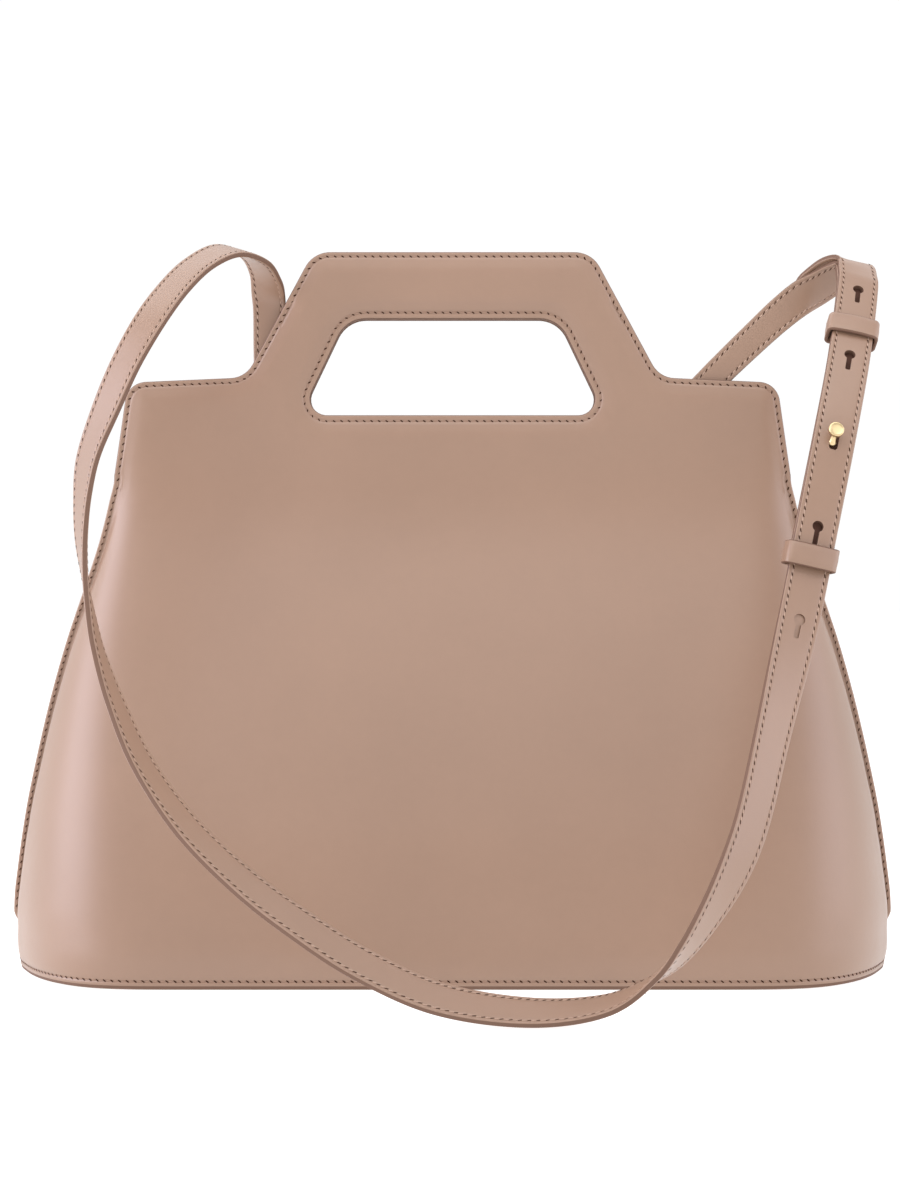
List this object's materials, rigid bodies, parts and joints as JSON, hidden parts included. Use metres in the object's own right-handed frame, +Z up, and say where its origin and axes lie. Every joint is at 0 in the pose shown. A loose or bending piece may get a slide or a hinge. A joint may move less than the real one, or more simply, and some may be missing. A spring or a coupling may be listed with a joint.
{
  "type": "top handle bag",
  "caption": "Smooth leather bag whose two halves lean together into a cut-out top handle, with a stitched base and a long strap that buckles on a stud and keyholes.",
  "frame": {"origin": "centre of the base, on the surface that the bag stands on", "axes": "+X across the bag towards the picture's right, +Y away from the viewer, +Z up"},
  "size_m": [0.3726, 0.2437, 0.3024],
  "materials": {
    "leather": "smooth calf leather with edge paint",
    "strap": "smooth calf leather, two layers stitched",
    "suede": "suede lining",
    "board": "bonded leather board",
    "brass": "pale polished brass"
  },
  "bodies": {
    "bag": {"front_panel": "leather", "front_stiffener": "board", "front_lining": "suede", "front_handle_core": "board", "front_facing": "leather", "base_panel": "leather", "base_board": "board", "base_lining": "suede", "left_gusset": "leather", "right_gusset": "leather", "front_snap": "brass", "strap_long": "strap", "strap_short": "strap", "strap_stud": "brass", "stud_screw": "brass", "left_strap_rivet": "brass", "right_strap_rivet": "brass"},
    "back_leaf": {"back_panel": "leather", "back_stiffener": "board", "back_lining": "suede", "back_handle_core": "board", "back_facing": "leather", "back_snap": "brass"},
    "upper_loop": {"upper_keeper": "strap"},
    "lower_loop": {"lower_keeper": "strap"}
  },
  "joints": [
    {"name": "mouth_open", "type": "hinge", "parent": "bag", "child": "back_leaf", "pos_m": [0, 0.075, 0], "axis": [-1, 0, 0], "range_deg": [0, 12], "deforming": ["left_gusset", "right_gusset"]},
    {"name": "upper_keeper_slide", "type": "slide", "parent": "bag", "child": "upper_loop", "axis": [0.1854, 0.6232, 0.7597], "range_m": [-0.008, 0.01]},
    {"name": "lower_keeper_slide", "type": "slide", "parent": "bag", "child": "lower_loop", "axis": [0.2275, 0.3337, 0.9148], "range_m": [-0.018, 0.008]}
  ]
}
